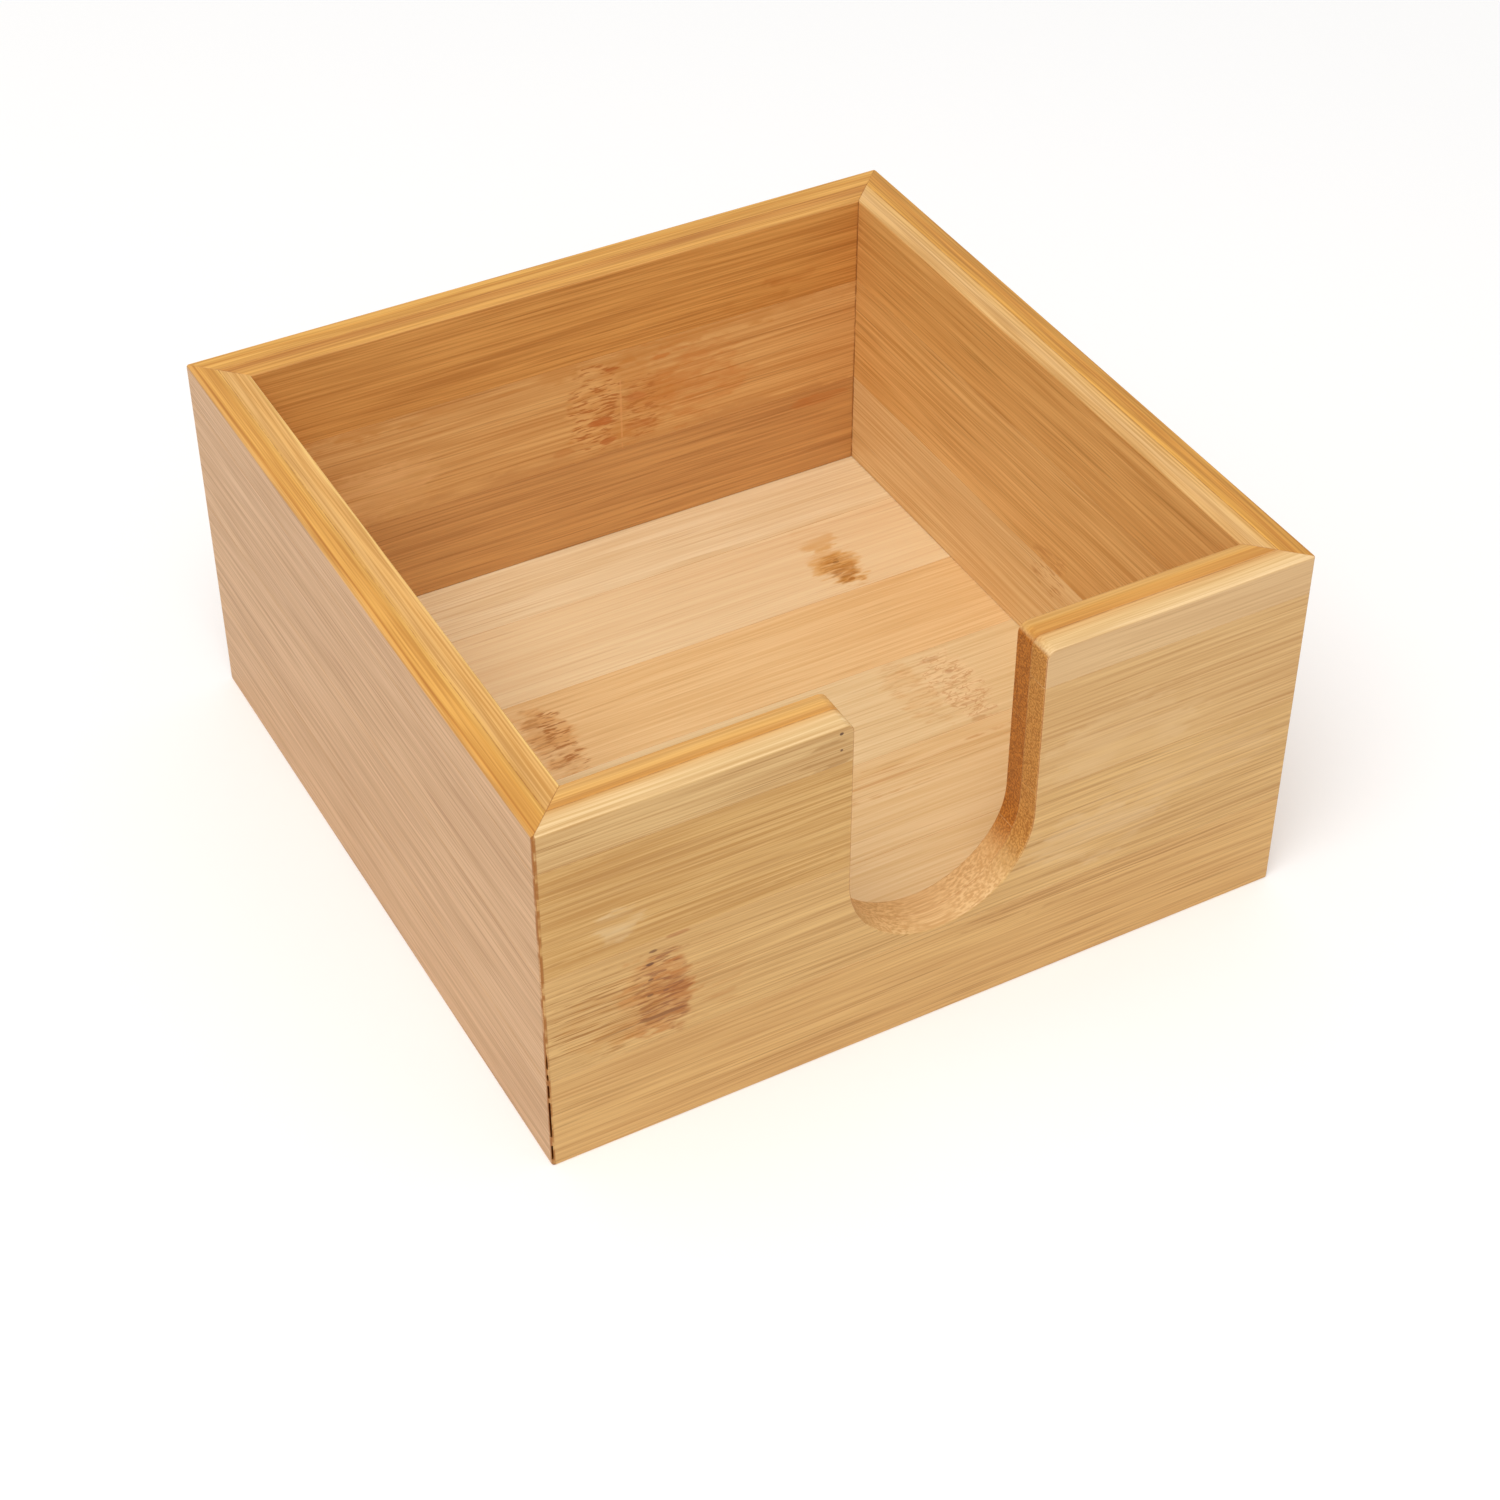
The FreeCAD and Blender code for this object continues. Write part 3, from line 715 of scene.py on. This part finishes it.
def seed_of(node):
    """The number that makes a strip's pattern its own."""
    strip = node.removesuffix("_left").removesuffix("_right")
    return sum(ord(letter) * place for place, letter in enumerate(strip, start=1)) % SEEDS


def joints_of(node, board, ply):
    """The heights in millimetres of the glue lines on a strip. On the floor they lie front to back."""
    low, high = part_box(node)
    if board == "base":
        return [low.y / MM, high.y / MM]
    joints = [level / MM for level in (low.z, high.z) if MM < level < RIM - MM]
    if ply == "inner" and low.z < floor_top < high.z:
        joints.append(floor_top / MM)
    return joints


def edge_of(node, board):
    """Which kind of edge a strip shows, and its tones."""
    if node in NOTCHED:
        return "notch", EDGE_TONES["notch"]
    if board == "front":
        return "front", EDGE_TONES["front_right" if node.endswith("_right") else "front_left"]
    return "rim", EDGE_TONES[board]


materials = {}
for node in sorted(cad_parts):
    board = node.split("_")[0]
    ply = "base" if board == "base" else node.split("_")[1]
    shown_edge, edge = edge_of(node, board)
    corner = "shut" if ply == "inner" else "opened" if node.startswith(("front_outer", "left_outer")) else ""
    materials[node] = bamboo(
        f"Bamboo {node}", board, seed_of(node), tones_of(node), edge, END_TONES[ply], shown_edge,
        joints_of(node, board, ply), MARKS.get(node, ()), corner)
print(len(materials), "bamboo materials")

# %% [markdown]
# ## One board of the front wall
#
# In the workshop the strips are pressed into a board first, and the board is then cut, notched and sanded as
# one. The model goes the same way. Half the outline is drawn as vertices, with the arcs swung by the spin
# operator, and mirrored to the other side. The notch is then pushed a little to the right, where it was cut,
# and the outline is filled and extruded to the board's thickness.

# %% The notch and the boards in numbers
# The radius where the notch's sides turn into the rim, and the wood left between it and the joint below.
NOTCH_CORNER = 2.0 * MM
NOTCH_WEB = 0.8 * MM
# Two places nearer than this, in metres, are the same.
SAME = 1e-6
notch_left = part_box("front_outer_strip_2_left")[1].x
notch_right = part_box("front_outer_strip_2_right")[0].x
NOTCH_RADIUS = (notch_right - notch_left) / 2
NOTCH_MIDDLE = (notch_right + notch_left) / 2
NOTCH_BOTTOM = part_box("front_outer_strip_3")[0].z + NOTCH_WEB
PLIES = {"outer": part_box("front_outer_strip_4"), "inner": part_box("front_inner_strip_4")}
print(f"notch {2 * NOTCH_RADIUS / MM:.1f} mm wide and {(RIM - NOTCH_BOTTOM) / MM:.1f} mm deep")

# %% Draw the blank of a board


def verts_in(items):
    """The vertices among the things that an operator made."""
    return [item for item in items if isinstance(item, bmesh.types.BMVert)]


def swing(bm, vert, centre, angle, steps):
    """Draws an arc by swinging a vertex round a centre in the wall's plane. Returns its last vertex."""
    arc = bmesh.ops.spin(bm, geom=[vert], cent=centre, axis=(0, 1, 0), angle=angle, steps=steps)
    return verts_in(arc["geom_last"])[0]


def draw_half(bm, half, front, notched):
    """Half of the outline, from the middle of the foot round to the middle of the rim or the notch."""
    foot = bm.verts.new((0, front, 0))
    low_corner = bm.verts.new((half, front, 0))
    high_corner = bm.verts.new((half, front, RIM))
    if notched:
        axle = NOTCH_BOTTOM + NOTCH_RADIUS
        turn = RIM - NOTCH_CORNER
        lowest = bm.verts.new((0, front, NOTCH_BOTTOM))
        side_foot = swing(bm, lowest, (0, front, axle), -QUARTER, steps=24)
        side_top = bm.verts.new((NOTCH_RADIUS, front, turn))
        bm.edges.new((side_foot, side_top))
        last = swing(bm, side_top, (NOTCH_RADIUS + NOTCH_CORNER, front, turn), QUARTER, steps=8)
    else:
        last = bm.verts.new((0, front, RIM))
    for pair in ((foot, low_corner), (low_corner, high_corner), (high_corner, last)):
        bm.edges.new(pair)


def draw_blank(ply, notched):
    """The outer or inner board of a wall as it leaves the saw, with square edges, standing at the front."""
    front, back = (corner.y for corner in PLIES[ply])
    bm = bmesh.new()
    draw_half(bm, -front, front, notched)
    bmesh.ops.mirror(bm, geom=bm.verts[:] + bm.edges[:], axis="X", merge_dist=SAME)
    bmesh.ops.remove_doubles(bm, verts=bm.verts[:], dist=SAME)
    if notched:
        of_notch = [v for v in bm.verts if abs(v.co.x) < NOTCH_RADIUS + NOTCH_CORNER + SAME and v.co.z > SAME]
        bmesh.ops.translate(bm, verts=of_notch, vec=(NOTCH_MIDDLE, 0, 0))
    face = bmesh.ops.contextual_create(bm, geom=bm.edges[:])["faces"]
    grown = bmesh.ops.extrude_face_region(bm, geom=face)["geom"]
    bmesh.ops.translate(bm, verts=verts_in(grown), vec=(0, back - front, 0))
    bmesh.ops.recalc_face_normals(bm, faces=bm.faces[:])
    return bm


blank = draw_blank("outer", True)
print(len(blank.faces), "faces, closed:", all(edge.is_manifold for edge in blank.edges))
blank.free()

# %% [markdown]
# ## Sanding the arrises
#
# A sanding block goes once round every edge that a hand can touch, and a little more over the upright
# corners. A bevel modifier would take every edge alike, so the bevel operator is given only these. The corner
# is rounded first, while the board is still longer than it needs to be. The rim and the foot come after that,
# so that their rounding runs on round the corner. The inner board is only eased where it faces the napkins.

# %% Round the edges of a board
# The radius of a sanded edge, and of an upright corner.
ARRIS = 0.4 * MM
CORNER_ROUND = 0.6 * MM


def round_edges(bm, edges, radius, segments):
    """Rounds edges to a radius, in so many steps."""
    bmesh.ops.bevel(bm, geom=edges, offset=radius, segments=segments, profile=0.5, affect="EDGES", material=-1)


def is_level(edge):
    """Whether both ends of an edge are at one height."""
    return abs(edge.verts[0].co.z - edge.verts[1].co.z) < SAME


def sand_board(bm, ply, notched):
    """Rounds the upright corners of an outer board, and then the rim, the foot and the notch of any board."""
    front, back = (corner.y for corner in PLIES[ply])
    show = front if ply == "outer" else back
    near_corner = -front - CORNER_ROUND - SAME

    def shown(vert):
        return abs(vert.co.y - show) < SAME

    def on_corner(vert):
        return shown(vert) and abs(vert.co.x) > -front - SAME

    def on_line(vert):
        """On the line where the rim or the foot turns into the shown face, or into the rounded corner."""
        on_rim_or_foot = vert.co.z < SAME or vert.co.z > RIM - SAME
        on_round = ply == "outer" and abs(vert.co.x) > near_corner and vert.co.y < back - SAME
        return on_rim_or_foot and (shown(vert) or on_round)

    def on_notch(vert):
        from_middle = abs(vert.co.x - NOTCH_MIDDLE)
        return notched and shown(vert) and from_middle < NOTCH_RADIUS + NOTCH_CORNER + SAME and vert.co.z > SAME

    if ply == "outer":
        uprights = [e for e in bm.edges if not is_level(e) and all(map(on_corner, e.verts))]
        round_edges(bm, uprights, CORNER_ROUND, segments=6)
    arrises = [e for e in bm.edges if (is_level(e) and all(map(on_line, e.verts))) or all(map(on_notch, e.verts))]
    round_edges(bm, arrises, ARRIS, segments=4)


board = draw_blank("outer", True)
sand_board(board, "outer", True)
print(len(board.faces), "faces, closed:", all(edge.is_manifold for edge in board.edges))
board.free()

# %% [markdown]
# ## The groove, and the mitres
#
# The floor stands in a groove that a saw ran along the inner board. A boolean could cut it, but scoring the
# band between its two levels and pressing it in leaves cleaner faces. Then both ends are sawn off at 45
# degrees. Both mitre planes pass through the middle of the box, which is also the middle of the frame, so a
# single point and a direction are enough.

# %% Two ways to cut along a plane


def score(bm, place, direction):
    """Cuts edges along a plane without taking anything away."""
    parts = bm.verts[:] + bm.edges[:] + bm.faces[:]
    bmesh.ops.bisect_plane(bm, geom=parts, dist=SAME, plane_co=place, plane_no=direction)


def saw_off(bm, place, direction):
    """Takes away what lies beyond a plane and closes the cut."""
    parts = bm.verts[:] + bm.edges[:] + bm.faces[:]
    sawn = bmesh.ops.bisect_plane(bm, geom=parts, dist=SAME, plane_co=place, plane_no=direction, clear_outer=True)
    rim = [item for item in sawn["geom_cut"] if isinstance(item, bmesh.types.BMEdge)]
    bmesh.ops.holes_fill(bm, edges=rim, sides=0)


print("places nearer than", SAME / MM, "mm count as the same")

# %% Cut the groove and the mitres
# The room that the groove leaves beyond the floor's edge, and above it.
EDGE_ROOM = 0.25 * MM
TOP_ROOM = 0.1 * MM
strip_low, strip_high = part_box("base_strip_1")
GROOVE_DEPTH = PLIES["inner"][1].y - (strip_low.x - EDGE_ROOM)
GROOVE = (strip_low.z, strip_high.z + TOP_ROOM)


def cut_groove(bm):
    """Presses in the band of an inner board's face that lies between the groove's two levels."""
    inside = PLIES["inner"][1].y
    bottom, top = GROOVE

    def in_band(vert):
        return abs(vert.co.y - inside) < SAME and bottom - SAME < vert.co.z < top + SAME

    for level in GROOVE:
        score(bm, (0, 0, level), (0, 0, 1))
    band = [face for face in bm.faces if all(map(in_band, face.verts))]
    pressed = bmesh.ops.extrude_face_region(bm, geom=band)["geom"]
    bmesh.ops.delete(bm, geom=band, context="FACES_ONLY")
    bmesh.ops.translate(bm, verts=verts_in(pressed), vec=(0, -GROOVE_DEPTH, 0))


def make_board(ply, notched):
    """A board that is ready to be sliced into strips, standing at the front."""
    bm = draw_blank(ply, notched)
    sand_board(bm, ply, notched)
    if ply == "inner":
        cut_groove(bm)
    for side in (-1, 1):
        saw_off(bm, (0, 0, 0), (side, 1, 0))
    return bm


print(f"groove {GROOVE_DEPTH / MM:.2f} mm deep, {(GROOVE[1] - GROOVE[0]) / MM:.1f} mm high")

# %% [markdown]
# ## An opened mitre
#
# Wood moves, and a mitre is the first joint to show it. At the front left corner the glue has let go here and
# there over the lowest third of the height, and a dark crack shows, widest near the floor and closed again every
# few millimetres. The vertices on the mitre's edge are drawn back by one to six tenths of a millimetre, level
# by level, so that both boards stay closed, and the crack runs in to where the boards of a wall are glued.

# %% Open the mitre at the front left
# The height of each station, and how far each board draws back there, in millimetres.
CRACK = [(1.6, 0.0), (2.1, 0.44), (3.6, 0.56), (4.6, 0.42), (5.1, 0.0), (7.3, 0.0), (7.8, 0.52), (9.5, 0.6),
         (13.5, 0.56), (15.4, 0.48), (15.9, 0.0), (17.0, 0.0), (17.4, 0.42), (19.8, 0.36), (20.3, 0.0), (21.3, 0.0),
         (21.7, 0.3), (22.5, 0.26), (22.9, 0.0), (24.1, 0.0), (24.5, 0.24), (25.6, 0.22), (26.6, 0.14), (28.0, 0.0)]


def open_mitre(bm, side):
    """Draws back the edge of the mitre at one end of an outer board: -1 is its left end, 1 its right."""
    for level, _ in CRACK:
        score(bm, (0, 0, level * MM), (0, 0, 1))
    inner_edge = PLIES["outer"][1].y
    for vert in bm.verts:
        on_mitre = abs(vert.co.x * side + vert.co.y) < SAME and vert.co.y < inner_edge - SAME
        width = next((w for level, w in CRACK if abs(level * MM - vert.co.z) < SAME), 0.0)
        if on_mitre and width:
            vert.co.x -= side * width * MM


print(f"each board draws back {max(width for _, width in CRACK):.2f} mm at most")

# %% [markdown]
# ## From boards to the four walls
#
# Each wall is a turned copy of the same two boards, and only the front is notched. A board is then sliced at
# its glue joints, so that every strip is a piece of its own, in the place the joiner's model gives it. All
# sharp edges lose a hair, because nothing sanded has a truly sharp edge, and that hair is what catches the
# light along a joint.

# %% Slice out a strip and finish it
# What a sharp edge loses, how sharp it has to be, and how flat an edge is that isn't needed.
HAIR = 0.045 * MM
SHARP = radians(30)
FLAT = radians(0.01)


def slice_out(board, node):
    """A copy of the board, cut down to one strip."""
    low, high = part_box(node)
    strip = board.copy()
    if high.z < RIM - SAME:
        saw_off(strip, (0, 0, high.z), (0, 0, 1))
    if low.z > SAME:
        saw_off(strip, (0, 0, low.z), (0, 0, -1))
    if node.endswith("_left"):
        saw_off(strip, (0, 0, 0), (1, 0, 0))
    if node.endswith("_right"):
        saw_off(strip, (0, 0, 0), (-1, 0, 0))
    return strip


def ease(bm):
    """Takes a hair off every sharp edge."""
    sharp = [edge for edge in bm.edges if edge.is_manifold and edge.calc_face_angle() > SHARP]
    round_edges(bm, sharp, HAIR, segments=1)


def finish_piece(bm, node):
    """Makes an object of a strip, gives it its bamboo and puts it in place of the joiner's own.

    Returns whether its mesh is closed."""
    bmesh.ops.remove_doubles(bm, verts=bm.verts[:], dist=SAME)
    bmesh.ops.dissolve_limit(bm, angle_limit=FLAT, verts=bm.verts[:], edges=bm.edges[:])
    ease(bm)
    closed = all(edge.is_manifold for edge in bm.edges)
    mesh = bpy.data.meshes.new(f"{node}_wood")
    bm.to_mesh(mesh)
    bm.free()
    mesh.shade_smooth()
    mesh.set_sharp_from_angle(angle=SHARP)
    mesh.materials.append(materials[node])
    piece = add_object(f"{node}_wood", mesh)
    piece.modifiers.new("Flat faces stay flat", "WEIGHTED_NORMAL").keep_sharp = True
    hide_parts(node)
    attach(piece, "root")
    return closed


print(f"every sharp edge loses {HAIR / MM:.3f} mm")

# %% Make the four walls
WALL_TURN = {"front": 0, "right": 90, "back": 180, "left": 270}
CRACKED_END = {"front": -1, "left": 1}
closed = []
for wall, turn in WALL_TURN.items():
    for ply in PLIES:
        board = make_board(ply, wall == "front")
        if ply == "outer" and wall in CRACKED_END:
            open_mitre(board, CRACKED_END[wall])
        bmesh.ops.rotate(board, verts=board.verts[:], cent=(0, 0, 0), matrix=Matrix.Rotation(radians(turn), 3, "Z"))
        for node in sorted(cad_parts):
            if node.startswith(f"{wall}_{ply}_"):
                closed.append(finish_piece(slice_out(board, node), node))
        board.free()
print(len(closed), "strips in the walls, closed:", sum(closed))

# %% [markdown]
# ## The floor
#
# The floor is one thin board of six strips, which run from side to side. It is made whole and sliced in the
# same way. Its edges go a little way into the groove, and nothing but a thin dark line shows where it meets
# the walls.

# %% Lay the floor
floor_nodes = sorted(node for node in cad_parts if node.startswith("base"))
floor_low = Vector(min(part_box(node)[0][i] for node in floor_nodes) for i in range(3))
floor_high = Vector(max(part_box(node)[1][i] for node in floor_nodes) for i in range(3))
floor_board = bmesh.new()
bmesh.ops.create_cube(floor_board, size=1.0)
bmesh.ops.scale(floor_board, verts=floor_board.verts[:], vec=floor_high - floor_low)
bmesh.ops.translate(floor_board, verts=floor_board.verts[:], vec=(floor_high + floor_low) / 2)
floor_closed = []
for node in floor_nodes:
    low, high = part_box(node)
    strip = floor_board.copy()
    if high.y < floor_high.y - SAME:
        saw_off(strip, (0, high.y, 0), (0, 1, 0))
    if low.y > floor_low.y + SAME:
        saw_off(strip, (0, low.y, 0), (0, -1, 0))
    floor_closed.append(finish_piece(strip, node))
floor_board.free()
print(len(floor_closed), "strips in the floor, closed:", sum(floor_closed))

# %% [markdown]
# ## Bench and light
#
# A product stands on a white sweep in soft light. The sweep is a wide pale plane. Most of the light comes from
# all round, and one wide lamp above, a little to the left and in front, makes the tops brighter than the
# sides and gives the soft shadow. The world looks white to the camera, and the sweep brightens a little with
# distance, so that the picture has no horizon.

# %% Lay the sweep
# How strongly the paper glows for the camera, from near the box to far away: between which distances in metres,
# and from what to what.
GLOW = {1: 0.3, 2: 1.4, 3: 0.06, 4: 0.36}

sweep_mesh = bpy.data.meshes.new("Sweep")
sweep_bm = bmesh.new()
bmesh.ops.create_grid(sweep_bm, x_segments=1, y_segments=1, size=3.0)
sweep_bm.to_mesh(sweep_mesh)
sweep_bm.free()
sweep = add_object("Sweep", sweep_mesh)
sweep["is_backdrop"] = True

paper = bpy.data.materials.new("Matt white sweep paper")
paper.use_nodes = True
sweep_mesh.materials.append(paper)
shader = paper.node_tree.nodes["Principled BSDF"]
shader.inputs["Base Color"].default_value = linear("FBFAF9")
shader.inputs["Roughness"].default_value = 0.9
shader.inputs["Emission Color"].default_value = (1, 1, 1, 1)
add = partial(add_node, paper.node_tree)
from_box = add("VectorMath", {0: add("TexCoord", {}, "Object")}, "Value", operation="LENGTH")
far_glow = add("MapRange", {0: from_box, **GLOW}, **SMOOTH)
to_camera = add("Math", {0: far_glow, 1: add("LightPath", {}, "Is Camera Ray")}, operation="MULTIPLY")
paper.node_tree.links.new(to_camera, shader.inputs["Emission Strength"])
print("the sweep is", [round(metres, 1) for metres in sweep.dimensions], "m")

# %% Light the box
# How brightly the room lights the box, and how bright it looks to the camera, where 1 is white.
ROOM_LIGHT, ROOM_LOOKS = 0.64, 1.0

world = bpy.data.worlds.new("Soft white room")
world.use_nodes = True
bpy.context.scene.world = world
air = world.node_tree.nodes["Background"]
air.inputs["Color"].default_value = (1, 1, 1, 1)
add = partial(add_node, world.node_tree)
strength = add("MapRange", {0: add("LightPath", {}, "Is Camera Ray"), 3: ROOM_LIGHT, 4: ROOM_LOOKS})
world.node_tree.links.new(strength, air.inputs["Strength"])

lamp_data = bpy.data.lights.new("Wide soft lamp", "AREA")
lamp_data.shape = "DISK"
lamp_data.size = 1.2
lamp_data.energy = 15.0
lamp = add_object("Wide soft lamp", lamp_data)
lamp.location = (-0.55, -0.55, 1.5)
look_along(lamp, -lamp.location)
bpy.context.scene.view_settings.view_transform = "Standard"
print("lamp", [round(metres, 2) for metres in lamp.location], "m")

# %% Find the bounds of all that is shown
low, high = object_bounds()
